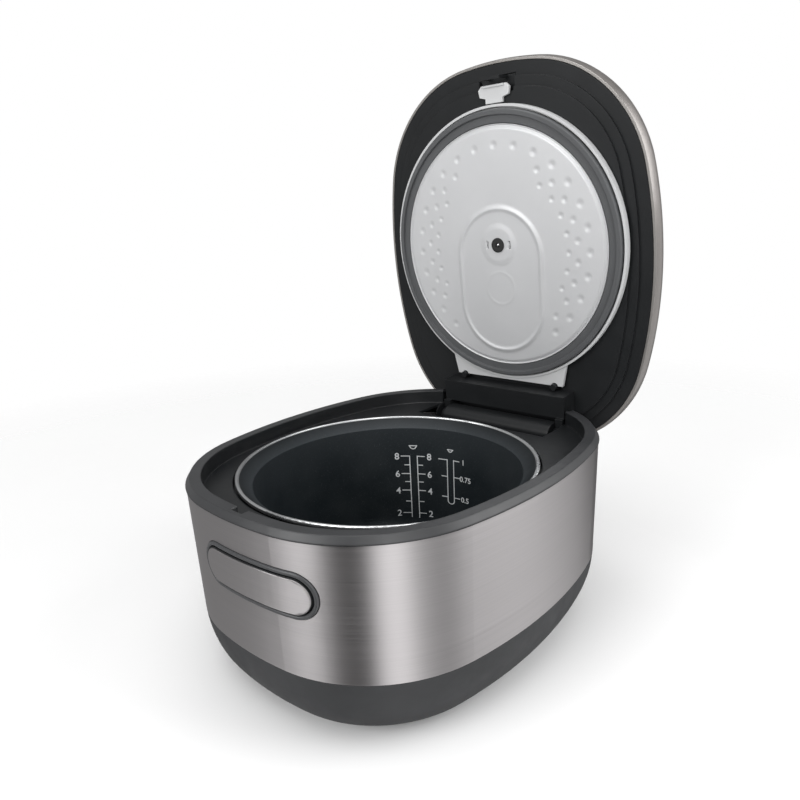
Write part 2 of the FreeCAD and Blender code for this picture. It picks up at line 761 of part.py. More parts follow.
def inner_pot():
    """Coated cooking pot with a conical flange and a rolled rim."""
    b = body("inner_pot")
    inner = S.pot_radius
    outer = inner + S.pot_wall
    top = S.pot_rim_top
    bead = S.pot_rim_radius - 2.7
    neck = top - 1 - S.flange_drop
    low = S.pot_bottom
    shape = turned(b, [
        (0, low), (outer, low), (outer, neck - 1.2), (bead, top - 2.7), (S.pot_rim_radius, top - 2.7),
        (S.pot_rim_radius, top), (bead, top), (bead, top - 1), (inner, neck), (inner, low + S.pot_wall),
        (0, low + S.pot_wall),
    ])
    outside = round_edges(b, shape, 20, at_height(low))
    inside = round_edges(b, outside, 18, at_height(low + S.pot_wall))
    round_edges(b, inside, 0.9, at_height(top))


# ---------------------------------------------------------------- lid, drawn closed

def lid_cover():
    """Outer cover of the lid: a domed shell with a seat for the panel and a hole for the steam cap."""
    b = body("lid_cover", lid=True)
    low = S.lid_plane
    top = S.lid_top
    inner = S.lid_inset - S.fit
    outline_loft(b, "Additive", [
        (low, 1.4), (low + 9.4, 0.5), (low + 18.9, 4), (top - 11.5, 11.5), (top - 6.2, 21), (top - 3, 32),
        (top - 1, 44), (top, 57),
    ])
    roof = top - S.lid_wall
    outline_loft(b, "Subtractive", [
        (low, inner), (low + 8.4, inner - 0.2), (low + 16.9, 6.6), (top - 14, 13.4), (top - 8.8, 22.6),
        (top - 5.6, 33), (top - 3.6, 44.6), (roof, 57),
    ])
    box(b, "Subtractive", -46, -62, top - 1.3, 92, 64, 5)
    rod(b, "Subtractive", 0, S.vent_y, roof - 10, 25, 20)
    for x, y in ((-36, -54), (36, -54), (-36, -6), (36, -6)):
        rod(b, "Additive", x, y, top - 10.4, 3, 8.4)


def control_panel():
    """Glossy touch panel let into the top of the lid."""
    b = body("control_panel", lid=True)
    flat = box(b, "Additive", -45.7, -61.7, S.lid_top - 1.3, 91.4, 63.4, 1.5)
    corners = lambda e: abs(e.BoundBox.ZLength - 1.5) < 0.01
    round_edges(b, flat, 0.6, corners)


def control_board():
    """Circuit board under the panel."""
    box(body("control_board", lid=True), "Additive", -41, -59, S.lid_top - 12, 82, 58, 1.6)


def display():
    """Display module between the board and the panel."""
    box(body("display", lid=True), "Additive", -22, -46, S.lid_top - 10.4, 44, 26, 7)


def lid_frame():
    """Black inner frame of the lid, stepped toward the pot, with a hole for the steam spout."""
    b = body("lid_frame", lid=True)
    plane = S.lid_plane
    step = S.step_height
    outline_pad(b, plane, plane + 2.4, S.lid_inset)
    outline_pad(b, plane - step, plane + 0.1, S.step_outer)
    outline_pad(b, plane - step - step, plane - step + 0.1, S.step_inner)
    outline_cut(b, plane - step + 2.4, plane + 3, S.step_outer + 2.4)
    outline_cut(b, plane - step - step + 2.4, plane - step + 2.5, S.step_inner + 2.4)
    rod(b, "Subtractive", 0, S.valve_y, plane - 8, 12.4, 20)
    box(b, "Subtractive", -16.4, S.front + 11.9, plane - 8, 32.8, 12.4, 16)
    for x in (-48.5, 48.5):
        rod(b, "Additive", x, S.beam_front - 3.8, plane - 12.6, 3, 9)
    relief = 12.8
    for x in (-(S.arm_outer + 0.2 + relief), S.arm_outer + 0.2):
        box(b, "Subtractive", x, S.hinge_y - 1.6, plane - 5, relief, 14, 6.6)
        box(b, "Subtractive", x, S.hinge_y - 9, plane - 7, relief, 8, 6.1)


def hinge_block():
    """Hinge block on the lid frame: a beam behind the pot rim and two arms down to the pin."""
    b = body("hinge_block", lid=True)
    top = S.lid_plane - S.step_height * 2
    half = S.arm_outer
    low = S.hinge_z + 3.7
    roof = S.hinge_z + S.arm_reach
    box(b, "Additive", -half, S.beam_front, low, half * 2, 20.2, top - low)
    box(b, "Additive", -half, S.hinge_y - 16.5, roof, half * 2, 19, top - roof)
    for x in (-half, S.arm_inner):
        width = S.arm_outer - S.arm_inner
        box(b, "Additive", x, S.hinge_y - 16.5, S.hinge_z, width, 24.5, top - S.hinge_z)
        rod_along_x(b, "Additive", x, S.hinge_y, S.hinge_z, 8, width)
    rod_along_x(b, "Subtractive", -80, S.hinge_y, S.hinge_z, S.pin_radius + S.pin_fit, 160)


def lid_catch():
    """Strike plate at the front of the lid that the latch barb holds."""
    b = body("lid_catch", lid=True)
    plane = S.lid_plane
    y = S.latch_y + 0.9
    low = S.latch_z + 19.9
    box(b, "Additive", -16, y - 0.1, plane + 0.4, 32, 11.6, 2)
    for x in (-9, 6.4):
        box(b, "Additive", x, y, low, 2.6, 2.1, plane + 1 - low)
    box(b, "Additive", -9, y, low, 18, 2.1, 2.3)


def steam_channel():
    """Duct from the inner lid's valve to the steam cap."""
    b = body("steam_channel", lid=True)
    plane = S.lid_plane
    start = S.valve_y - 20
    length = S.vent_y + 25 - start
    box(b, "Additive", -18, start, plane + 3.9, 36, length, 14)
    rod(b, "Additive", 0, S.vent_y, plane + 9.9, 25.4, 24)
    rod(b, "Additive", 0, S.valve_y, plane - 4.1, 12, 9)
    box(b, "Subtractive", -16, start + 2, plane + 5.9, 32, length - 4, 10)
    rod(b, "Subtractive", 0, S.vent_y, plane + 11.9, 23.4, 40)
    rod(b, "Subtractive", 0, S.valve_y, plane - 10.1, 9, 17)


def steam_cap():
    """Lift-out steam cap with outlet slots."""
    b = body("steam_cap", lid=True)
    top = S.lid_top
    turned(b, [
        (20.6, top - 18), (22.6, top - 18), (22.6, top - 3.9), (24.4, top - 3.9), (24.4, top + 0.6),
        (23.2, top + 1.8), (0, top + 1.8), (0, top - 0.6), (20.6, top - 0.6),
    ], y=S.vent_y)
    for x in (-9, -3, 3, 9):
        box(b, "Subtractive", x - 1, S.vent_y - 9, top - 2, 2, 18, 6)


# ---------------------------------------------------------------- inner lid, drawn closed

def inner_lid_carrier():
    """White carrier ring of the inner lid, with a straight-edged tail toward the hinge."""
    b = body("inner_lid_carrier", lid=True)
    r = S.carrier_radius
    z = S.plate_low
    web = z + 5
    top = z + 7.2
    turned(b, [
        (70, web), (r - 2, web), (r - 2, z + 1.8), (r, z + 1.8), (r, top), (r - 14, top), (r - 14, top - 0.2),
        (70, top - 0.2),
    ])
    tail = sketch_on(b, "XY_Plane", 0, 0, z + 3)
    end = S.beam_front - 4.4
    polygon(tail, [(-61, r - 20.6), (-56.5, end), (56.5, end), (61, r - 20.6)])
    pad(b, tail, 3)
    rod(b, "Subtractive", 0, 0, z + 1, r - 2.4, 4)
    for x in (-48.5, 48.5):
        rod(b, "Subtractive", x, S.beam_front - 3.8, z + 1, 3.4, 6)
    box(b, "Subtractive", -1, end - 4.6, z + 2, 12, 1.8, 6)


def inner_lid_plate():
    """Thin aluminium inner lid with a raised slot-shaped field, a valve hole and two steam slots."""
    b = body("inner_lid_plate", lid=True)
    low = S.plate_low
    thick = S.plate_thick
    edge = S.plate_radius
    turned(b, [
        (0, low), (edge - 1, low), (edge, low + 1), (edge, low + 4.2), (edge + 5, low + 4.2), (edge + 5, low + 4.9),
        (edge - thick, low + 4.9), (edge - thick, low + 1.4), (edge - 1.4, low + thick), (0, low + thick),
    ])
    field = sketch_on(b, "XY_Plane", 0, 25.4, low - 0.7)
    slot_along_y(field, 61.2, 41)
    pad(b, field, 1)
    relief = sketch_on(b, "XY_Plane", 0, 25.4, low + 0.2)
    slot_along_y(relief, 60.4, 40.2)
    pocket_up(b, relief, 1)
    rod(b, "Subtractive", 0, S.valve_y, low - 5, 4.8, 10)
    for x in (-11.8, 10.2):
        box(b, "Subtractive", x, S.valve_y - 3.5, low - 5, 1.6, 7, 10)


def slot_along_y(sketch, half_length, half_width):
    """A slot shape with round ends along the sketch's second axis, centred on its origin."""
    reach = size(half_length) - half_width
    radius = size(half_width)
    a = sketch.GeometryCount
    up = V(0, reach.number, 0)
    across = V(radius.number, 0, 0)
    pi = math.pi
    sketch.addGeometry(Part.ArcOfCircle(Part.Circle(up, V(0, 0, 1), radius.number), 0, pi))
    sketch.addGeometry(Part.LineSegment(up - across, -up - across))
    sketch.addGeometry(Part.ArcOfCircle(Part.Circle(-up, V(0, 0, 1), radius.number), pi, 2 * pi))
    sketch.addGeometry(Part.LineSegment(-up + across, up + across))
    rule = Sketcher.Constraint
    for i in range(4):
        sketch.addConstraint(rule("Tangent", a + i, 2, a + (i + 1) % 4, 1))
    sketch.addConstraint(rule("Vertical", a + 1))
    drive(sketch, "round", rule("Radius", a, radius.number), radius)
    locate(sketch, "far", a, 3, 0, reach)
    drive(sketch, "near", rule("DistanceY", -1, 1, a + 2, 3, -reach.number), -reach)


def lid_gasket():
    """Silicone ring that seals on the pot's conical flange."""
    r = S.gasket_radius
    low = S.gasket_low
    turned(body("lid_gasket", lid=True), [
        (S.plate_radius + 0.5, low + 2), (r - 4.4, low + 2), (r - 4, low), (r - 0.8, low), (r, low + 1),
        (r, low + 6), (S.plate_radius + 5.5, low + 6), (S.plate_radius + 5.5, low + 5.2),
        (S.plate_radius + 0.5, low + 5.2),
    ])


def valve_seat():
    """Rubber grommet with the cage of the steam valve's ball."""
    low = S.plate_low
    turned(body("valve_seat", lid=True), [
        (2, low - 1.9), (6, low - 1.9), (6, low - 0.75), (4.5, low - 0.75), (4.5, low + 0.9), (5.6, low + 0.9),
        (5.6, low + 1.8), (4.5, low + 1.8), (4.5, low + 6), (1.8, low + 6), (1.8, low + 4.8), (3, low + 4.8),
        (3, low), (2, low - 0.8),
    ], y=S.valve_y)


def valve_ball():
    """Loose ball of the steam valve."""
    b = body("valve_ball", lid=True)
    made = b.newObject("PartDesign::AdditiveSphere", "ball")
    attach(b, made, "XY_Plane", 0, S.valve_y, S.plate_low + 0.75)
    bind(made, Radius=2.4)


def release_tab():
    """White sliding tab that frees the inner lid."""
    b = body("release_tab", lid=True)
    tab = sketch_on(b, "XY_Plane", 0, 0, S.plate_low + 4.8)
    edge = -S.carrier_radius
    shape = [
        (-8, 0.8), (8, 0.8), (8, 4.4), (13.5, 5.9), (14.5, 10.9), (11.5, 13.8), (-11.5, 13.8), (-14.5, 10.9),
        (-13.5, 5.9), (-8, 4.4),
    ]
    polygon(tab, [(x, edge - y) for x, y in shape])
    pad(b, tab, 2.4)
    box(b, "Additive", -10, edge - 13.8, S.plate_low + 3.6, 20, 1.6, 1.4)


# ---------------------------------------------------------------- assembly

PARTS = [
    base_shell, bottom_plate, feet, case_screws, steel_band, deck, hinge_housing, hinge_pin, lid_spring,
    button_bezel, release_button, button_plate, button_springs, spring_plate, latch_rocker, latch_pin,
    well, heating_plate, heater_element, sensor_cap, sensor_holder, sensor_spring, thermal_fuse,
    power_board, board_parts, power_inlet, inlet_pins, inner_pot,
    lid_cover, control_panel, control_board, display, lid_frame, hinge_block, lid_catch,
    steam_channel, steam_cap, inner_lid_carrier, inner_lid_plate, lid_gasket, valve_seat, valve_ball,
    release_tab,
]
for make in PARTS:
    make()

# The lid turns open about the pin: each lid piece is moved so that the pin stays where it is.
turn = f"cos({S.lid_angle.formula})"
lean = f"sin({S.lid_angle.formula})"
y, z = S.hinge_y.formula, S.hinge_z.formula
angle = math.radians(S.lid_angle.number)
shift_y = S.hinge_y.number * (1 - math.cos(angle)) - S.hinge_z.number * math.sin(angle)
shift_z = S.hinge_z.number * (1 - math.cos(angle)) + S.hinge_y.number * math.sin(angle)
for item in LID_NODES:
    item.Placement = FreeCAD.Placement(
        V(0, shift_y, shift_z), FreeCAD.Rotation(V(1, 0, 0), -S.lid_angle.number))
    item.setExpression("Placement.Base.y", f"{y} * (1 - {turn}) - {z} * {lean}")
    item.setExpression("Placement.Base.z", f"{z} * (1 - {turn}) + {y} * {lean}")
    item.setExpression("Placement.Rotation.Angle", f"0 - {S.lid_angle.formula}")
doc.recompute()

faulty = [o.Label for o in doc.Objects if "Invalid" in o.State or "Error" in o.State]
pieces = [o for o in doc.Objects if o.TypeId == "PartDesign::Body"]
faulty += [p.Label for p in pieces if p.Shape.isNull() or not p.Shape.isValid()]
if faulty:
    raise RuntimeError("faulty pieces: " + ", ".join(faulty))
for piece in pieces:
    piece.Shape.exportStep(f"parts/{piece.Label}.step")
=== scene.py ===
import json
import math

import bpy
from mathutils import Matrix, Vector
from mathutils.bvhtree import BVHTree


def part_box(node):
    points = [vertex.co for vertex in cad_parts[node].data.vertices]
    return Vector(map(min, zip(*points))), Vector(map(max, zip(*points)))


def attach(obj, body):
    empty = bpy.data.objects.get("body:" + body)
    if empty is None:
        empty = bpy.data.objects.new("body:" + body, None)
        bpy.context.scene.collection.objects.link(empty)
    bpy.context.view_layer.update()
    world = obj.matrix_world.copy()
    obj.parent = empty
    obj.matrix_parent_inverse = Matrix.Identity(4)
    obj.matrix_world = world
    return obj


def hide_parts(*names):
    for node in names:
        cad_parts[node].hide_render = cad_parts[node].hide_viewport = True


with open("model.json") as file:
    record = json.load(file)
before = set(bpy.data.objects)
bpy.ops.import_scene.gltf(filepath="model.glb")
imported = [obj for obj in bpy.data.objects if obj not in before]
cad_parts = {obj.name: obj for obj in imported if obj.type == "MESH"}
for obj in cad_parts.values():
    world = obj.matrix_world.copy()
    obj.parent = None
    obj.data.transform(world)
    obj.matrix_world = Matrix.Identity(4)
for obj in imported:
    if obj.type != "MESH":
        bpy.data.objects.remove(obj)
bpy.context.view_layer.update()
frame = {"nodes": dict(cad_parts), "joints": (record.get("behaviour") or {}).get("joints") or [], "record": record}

NODES = frame["nodes"]
MM = 0.001

# ---------------------------------------------------------------- places taken from the frame

LID_JOINT = next(j for j in frame["joints"] if j["name"] == "lid_hinge")
HINGE = Vector(LID_JOINT["pos_m"])
OPEN = math.radians(abs(LID_JOINT["range_deg"][0]))
OPEN_LID = Matrix.Translation(HINGE) @ Matrix.Rotation(-OPEN, 4, "X") @ Matrix.Translation(-HINGE)
CLOSE_LID = OPEN_LID.inverted()
LID_UP = OPEN_LID.to_3x3() @ Vector((0, 0, 1))


def closed_box(node):
    """Corners of a lid node as it lies on the closed cooker."""
    points = [CLOSE_LID @ v.co for v in NODES[node].data.vertices]
    low = Vector([min(p[i] for p in points) for i in range(3)])
    high = Vector([max(p[i] for p in points) for i in range(3)])
    return low, high


def tree_of(node):
    data = NODES[node].data
    return BVHTree.FromPolygons([v.co.copy() for v in data.vertices], [p.vertices[:] for p in data.polygons])


# ---------------------------------------------------------------- materials

def new_material(name):
    material = bpy.data.materials.new(name)
    material.use_nodes = True
    tree = material.node_tree
    tree.nodes.clear()
    output = tree.nodes.new("ShaderNodeOutputMaterial")
    shader = tree.nodes.new("ShaderNodeBsdfPrincipled")
    tree.links.new(shader.outputs["BSDF"], output.inputs["Surface"])
    return material, tree, shader


def node(tree, kind, **inputs):
    made = tree.nodes.new(kind)
    for key, value in inputs.items():
        if key[0].isupper():
            made.inputs[key.replace("_", " ")].default_value = value
        else:
            setattr(made, key, value)
    return made


def position(tree, scale=(1, 1, 1)):
    """The rest position in the row frame, stretched."""
    source = node(tree, "ShaderNodeTexCoord")
    mapping = node(tree, "ShaderNodeMapping", Scale=scale)
    tree.links.new(source.outputs["Object"], mapping.inputs["Vector"])
    return mapping.outputs["Vector"]


def noise(tree, vector, scale, detail=3, rough=0.55):
    made = node(tree, "ShaderNodeTexNoise", Scale=scale, Detail=detail, Roughness=rough)
    tree.links.new(vector, made.inputs["Vector"])
    return made.outputs["Fac"]


def spread(tree, value, low, high, start=0.3, stop=0.7):
    made = node(tree, "ShaderNodeMapRange")
    made.inputs["From Min"].default_value = start
    made.inputs["From Max"].default_value = stop
    made.inputs["To Min"].default_value = low
    made.inputs["To Max"].default_value = high
    tree.links.new(value, made.inputs["Value"])
    return made.outputs["Result"]


def math_node(tree, operation, a, b=0.0):
    made = node(tree, "ShaderNodeMath", operation=operation)
    for socket, value in zip(made.inputs, (a, b)):
        if isinstance(value, (int, float)):
            socket.default_value = value
        else:
            tree.links.new(value, socket)
    return made.outputs["Value"]


def dot(tree, vector, axis):
    made = node(tree, "ShaderNodeVectorMath", operation="DOT_PRODUCT")
    tree.links.new(vector, made.inputs[0])
    made.inputs[1].default_value = axis
    return made.outputs["Value"]


def blend_colour(tree, factor, a, b):
    """Mixes two colours, or colour outputs, by a factor output."""
    made = node(tree, "ShaderNodeMix", data_type="RGBA")
    tree.links.new(factor, made.inputs["Factor"])
    for socket, value in ((made.inputs[6], a), (made.inputs[7], b)):
        if isinstance(value, (tuple, list)):
            socket.default_value = (*value, 1)
        else:
            tree.links.new(value, socket)
    return made.outputs[2]


def shade(colour, by):
    return tuple(min(1.0, c * by) for c in colour)


def rounded_normal(tree, radius):
    bevel = node(tree, "ShaderNodeBevel", samples=6)
    bevel.inputs["Radius"].default_value = radius
    return bevel.outputs["Normal"]


def bump(tree, height, strength, distance, normal=None):
    made = node(tree, "ShaderNodeBump", Strength=strength, Distance=distance)
    tree.links.new(height, made.inputs["Height"])
    if normal is not None:
        tree.links.new(normal, made.inputs["Normal"])
    return made.outputs["Normal"]


def plastic(name, colour, rough=0.45, mottle=0.10, grain=900, depth=0.00004, edge=0.0005, coat=0.0,
            gloss=0.5):
    """Moulded plastic: faint mottling, fine surface grain and softened edges."""
    material, tree, shader = new_material(name)
    here = position(tree)
    cloud = spread(tree, noise(tree, here, 24), 0, 1)
    body = blend_colour(tree, cloud, shade(colour, 1 - mottle), shade(colour, 1 + mottle))
    tree.links.new(body, shader.inputs["Base Color"])
    fine = noise(tree, here, grain, detail=2)
    tree.links.new(spread(tree, noise(tree, here, 60), rough - 0.05, rough + 0.06), shader.inputs["Roughness"])
    tree.links.new(bump(tree, fine, 0.5, depth, rounded_normal(tree, edge)), shader.inputs["Normal"])
    shader.inputs["Specular IOR Level"].default_value = gloss
    shader.inputs["Coat Weight"].default_value = coat
    shader.inputs["Coat Roughness"].default_value = 0.12
    return material


def brushed(name, colour, rough=0.3, lines=(4, 4, 4200), depth=0.000004, aniso=0.9, contrast=0.09, edge=0.0003):
    """Brushed metal: hairlines at two scales, in colour, roughness and relief."""
    material, tree, shader = new_material(name)
    hair = noise(tree, position(tree, lines), 1, detail=4, rough=0.7)
    long = tuple(v * 0.25 for v in lines)
    wide = noise(tree, position(tree, long), 1, detail=3)
    grain = spread(tree, hair, 0, 1)
    body = blend_colour(tree, grain, shade(colour, 1 - contrast), shade(colour, 1 + contrast))
    tone = spread(tree, wide, 0.0, 0.35)
    body = blend_colour(tree, tone, body, shade(colour, 1.10))
    tree.links.new(body, shader.inputs["Base Color"])
    tree.links.new(spread(tree, hair, rough - 0.05, rough + 0.08), shader.inputs["Roughness"])
    tree.links.new(bump(tree, hair, 0.6, depth, rounded_normal(tree, edge)), shader.inputs["Normal"])
    shader.inputs["Metallic"].default_value = 1.0
    shader.inputs["Anisotropic"].default_value = aniso
    return material, tree, shader


def metal(name, colour, rough=0.3, grain=220, depth=0.00003, speck=0.08):
    """Cast, plated or drawn metal with a fine uneven surface."""
    material, tree, shader = new_material(name)
    here = position(tree)
    cloud = spread(tree, noise(tree, here, grain, detail=5), 0, 1)
    body = blend_colour(tree, cloud, shade(colour, 1 - speck), shade(colour, 1 + speck))
    tree.links.new(body, shader.inputs["Base Color"])
    tree.links.new(spread(tree, noise(tree, here, 70), rough - 0.06, rough + 0.08), shader.inputs["Roughness"])
    tree.links.new(bump(tree, cloud, 0.4, depth, rounded_normal(tree, 0.0002)), shader.inputs["Normal"])
    shader.inputs["Metallic"].default_value = 1.0
    return material


def radial_tangent(tree, shader, axis="Z"):
    tangent = node(tree, "ShaderNodeTangent", direction_type="RADIAL", axis=axis)
    tree.links.new(tangent.outputs["Tangent"], shader.inputs["Tangent"])
    shader.inputs["Anisotropic Rotation"].default_value = 0.25


def band_steel():
    material, tree, shader = brushed("band_steel", (0.46, 0.442, 0.446), rough=0.42)
    radial_tangent(tree, shader)
    return material


def button_steel():
    material, tree, shader = brushed("button_steel", (0.48, 0.462, 0.466), rough=0.42)
    radial_tangent(tree, shader)
    return material


def lid_aluminium():
    """Satin pressed sheet: very fine grain, no direction."""
    material, tree, shader = new_material("lid_aluminium")
    here = position(tree)
    cloud = spread(tree, noise(tree, here, 18), 0, 1)
    body = blend_colour(tree, cloud, (0.62, 0.625, 0.635), (0.66, 0.665, 0.675))
    tree.links.new(body, shader.inputs["Base Color"])
    fine = noise(tree, here, 1500, detail=3)
    tree.links.new(spread(tree, fine, 0.42, 0.52), shader.inputs["Roughness"])
    tree.links.new(bump(tree, fine, 0.35, 0.00002), shader.inputs["Normal"])
    shader.inputs["Metallic"].default_value = 0.35
    return material


def deck_plastic():
    """Dark grey on the rim and its outward faces; near-black on the recessed deck and the rim's inward-facing
    wall, partly the plastic's own black and partly painted shade in the recess.
    """
    material, tree, shader = new_material("deck_plastic")
    here = position(tree)
    low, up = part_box("deck")
    top = up[2]
    source = node(tree, "ShaderNodeTexCoord")
    height = dot(tree, source.outputs["Object"], (0, 0, 1))
    high = spread(tree, height, 0, 1, top - 0.0009, top - 0.0005)
    centre = node(tree, "ShaderNodeVectorMath", operation="SUBTRACT")
    tree.links.new(source.outputs["Object"], centre.inputs[0])
    centre.inputs[1].default_value = ((low[0] + up[0]) / 2, (low[1] + up[1]) / 2, 0)
    flat = node(tree, "ShaderNodeVectorMath", operation="MULTIPLY")
    tree.links.new(centre.outputs["Vector"], flat.inputs[0])
    flat.inputs[1].default_value = (1, 1, 0)
    facing = node(tree, "ShaderNodeVectorMath", operation="DOT_PRODUCT")
    tree.links.new(flat.outputs["Vector"], facing.inputs[0])
    tree.links.new(source.outputs["Normal"], facing.inputs[1])
    # painted shade: faces turned in toward the recess, and all below the rim top, take the near-black colour;
    # partly the plastic's own black
    outward = spread(tree, facing.outputs["Value"], 0, 1, 0.004, 0.012)
    grey = math_node(tree, "MAXIMUM", high, outward)
    cloud = spread(tree, noise(tree, here, 30), 0, 1)
    rim = blend_colour(tree, cloud, (0.027, 0.028, 0.030), (0.034, 0.035, 0.037))
    floor = blend_colour(tree, cloud, (0.006, 0.007, 0.008), (0.009, 0.010, 0.011))
    tree.links.new(blend_colour(tree, grey, floor, rim), shader.inputs["Base Color"])
    fine = noise(tree, here, 900, detail=2)
    tree.links.new(spread(tree, noise(tree, here, 60), 0.34, 0.44), shader.inputs["Roughness"])
    tree.links.new(bump(tree, fine, 0.5, 0.00003, rounded_normal(tree, 0.0016)), shader.inputs["Normal"])
    return material


def pot_metal():
    """Bright rolled rim and a blue-black speckled non-stick coating, with painted light that pales the wall a
    little toward the rim and painted shade that darkens the sloping flange under the bead.
    """
    material, tree, shader = new_material("pot_metal")
    source = node(tree, "ShaderNodeTexCoord")
    here = source.outputs["Object"]
    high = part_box("inner_pot")[1]
    rim = high[0]
    flat = node(tree, "ShaderNodeVectorMath", operation="MULTIPLY")
    tree.links.new(here, flat.inputs[0])
    flat.inputs[1].default_value = (1, 1, 0)
    reach = node(tree, "ShaderNodeVectorMath", operation="LENGTH")
    tree.links.new(flat.outputs["Vector"], reach.inputs[0])
    radius = reach.outputs["Value"]
    bead = spread(tree, radius, 0, 1, rim - 0.0031, rim - 0.0025)
    painted_shade_cone = spread(tree, radius, 0, 1, rim - 0.0125, rim - 0.0030)
    # painted light: the wall is painted paler over its top 50 mm and darker deeper in the pot, where shade falls
    painted_light_rise = spread(tree, dot(tree, here, (0, 0, 1)), 0, 1, high[2] - 0.050, high[2] - 0.008)
    speck = spread(tree, noise(tree, here, 1400, detail=1), 0, 1, 0.66, 0.74)
    cloud = spread(tree, noise(tree, here, 26), 0, 1)
    dark = blend_colour(tree, cloud, (0.013, 0.017, 0.020), (0.024, 0.029, 0.032))
    dark = blend_colour(tree, painted_light_rise, dark, (0.030, 0.035, 0.039))
    dark = blend_colour(tree, speck, dark, (0.070, 0.078, 0.082))
    # painted shade: the upward-facing flange is painted darker than the wall to cancel the light it gets from
    # above
    flange_painted_shade = blend_colour(tree, cloud, (0.009, 0.011, 0.012), (0.012, 0.014, 0.016))
    bright = blend_colour(tree, cloud, (0.68, 0.69, 0.70), (0.76, 0.77, 0.78))
    body = blend_colour(tree, painted_shade_cone, dark, flange_painted_shade)
    body = blend_colour(tree, bead, body, bright)
    tree.links.new(body, shader.inputs["Base Color"])
    fine = noise(tree, here, 700, detail=3)
    rough = spread(tree, cloud, 0.38, 0.46)
    polished = math_node(tree, "MULTIPLY", bead, 0.12)
    tree.links.new(math_node(tree, "SUBTRACT", rough, polished), shader.inputs["Roughness"])
    tree.links.new(spread(tree, radius, 0.15, 1.0, rim - 0.0031, rim - 0.0025), shader.inputs["Metallic"])
    shader.inputs["Specular IOR Level"].default_value = 0.2
    smooth = math_node(tree, "MULTIPLY", fine, math_node(tree, "SUBTRACT", 1.0, bead))
    tree.links.new(bump(tree, smooth, 0.35, 0.00004), shader.inputs["Normal"])
    return material


def shell_lacquer():
    """Warm grey metallic lacquer with a painted highlight: a paler band along the edge where the shell meets the
    inner frame.
    """
    material, tree, shader = new_material("champagne_shell")
    here = position(tree)
    edge = LID_UP.dot(OPEN_LID @ Vector((0, 0, closed_box("lid_cover")[0].z)))
    source = node(tree, "ShaderNodeTexCoord")
    height = dot(tree, source.outputs["Object"], LID_UP)
    # painted highlight: a band about half a millimetre wide along the shell's edge is painted paler, standing in
    # for the light its chamfer catches
    rim = spread(tree, height, 1, 0, edge + 0.0002, edge + 0.0005)
    flake = spread(tree, noise(tree, here, 1800, detail=2), 0, 1)
    cloud = spread(tree, noise(tree, here, 20), 0, 1)
    tone = blend_colour(tree, cloud, (0.190, 0.175, 0.166), (0.220, 0.202, 0.192))
    tone = blend_colour(tree, math_node(tree, "MULTIPLY", flake, 0.35), tone, (0.33, 0.31, 0.295))
    tree.links.new(blend_colour(tree, rim, tone, (0.32, 0.305, 0.29)), shader.inputs["Base Color"])
    tree.links.new(spread(tree, noise(tree, here, 80), 0.30, 0.40), shader.inputs["Roughness"])
    tree.links.new(bump(tree, flake, 0.2, 0.00002, rounded_normal(tree, 0.0005)), shader.inputs["Normal"])
    shader.inputs["Metallic"].default_value = 0.6
    shader.inputs["Coat Weight"].default_value = 0.35
    shader.inputs["Coat Roughness"].default_value = 0.15
    return material


def board_green():
    """Circuit board: solder mask with a faint weave of tracks."""
    material, tree, shader = new_material("board_green")
    bricks = node(tree, "ShaderNodeTexBrick", Scale=260.0)
    tree.links.new(position(tree), bricks.inputs["Vector"])
    bricks.inputs["Color1"].default_value = (0.012, 0.10, 0.035, 1)
    bricks.inputs["Color2"].default_value = (0.018, 0.13, 0.045, 1)
    bricks.inputs["Mortar"].default_value = (0.03, 0.2, 0.08, 1)
    tree.links.new(bricks.outputs["Color"], shader.inputs["Base Color"])
    tree.links.new(bump(tree, bricks.outputs["Fac"], 0.3, 0.00005), shader.inputs["Normal"])
    shader.inputs["Roughness"].default_value = 0.35
    return material


BASE_GREY = plastic("dark_grey_plastic", (0.034, 0.035, 0.037), rough=0.52, gloss=0.35, grain=1100,
                    depth=0.00005, edge=0.0008)
BLACK = plastic("black_plastic", (0.0125, 0.0135, 0.0145), rough=0.42, grain=900, depth=0.00004, gloss=0.25)
RIM = plastic("rim_plastic", (0.050, 0.051, 0.054), rough=0.30, mottle=0.06, depth=0.00002)
RUBBER = plastic("rubber", (0.018, 0.018, 0.018), rough=0.72, grain=1600, depth=0.00006)
GASKET = plastic("gasket_rubber", (0.085, 0.088, 0.092), rough=0.50, mottle=0.08, grain=1300, edge=0.0008)
WHITE = plastic("white_plastic", (0.60, 0.605, 0.61), rough=0.42, mottle=0.02, edge=0.0005)
GLOSS = plastic("gloss_black", (0.010, 0.010, 0.011), rough=0.12, mottle=0.05, depth=0.000005, coat=0.8)
PART_BLACK = plastic("part_black", (0.03, 0.03, 0.035), rough=0.5)
DISPLAY = plastic("display_glass", (0.03, 0.04, 0.045), rough=0.15, mottle=0.2, coat=0.5)
CERAMIC = plastic("ceramic_white", (0.62, 0.59, 0.52), rough=0.3, mottle=0.06, coat=0.3)
STEEL = metal("steel", (0.58, 0.58, 0.59), rough=0.22)
SPRING = metal("spring_steel", (0.45, 0.45, 0.46), rough=0.28)
SHEET = metal("sheet_metal", (0.50, 0.51, 0.53), rough=0.38, grain=90, speck=0.12)
CAST = metal("cast_aluminium", (0.55, 0.55, 0.56), rough=0.45, grain=500, depth=0.00008, speck=0.10)
BRASS = metal("pin_brass", (0.72, 0.62, 0.38), rough=0.25)
BAND = band_steel()
BUTTON = button_steel()
ALUMINIUM = lid_aluminium()
DECK = deck_plastic()
POT = pot_metal()
SHELL = shell_lacquer()
BOARD = board_green()
PRINT = plastic("print_grey", (0.62, 0.64, 0.65), rough=0.55, mottle=0.12, grain=2200, edge=0.00005)

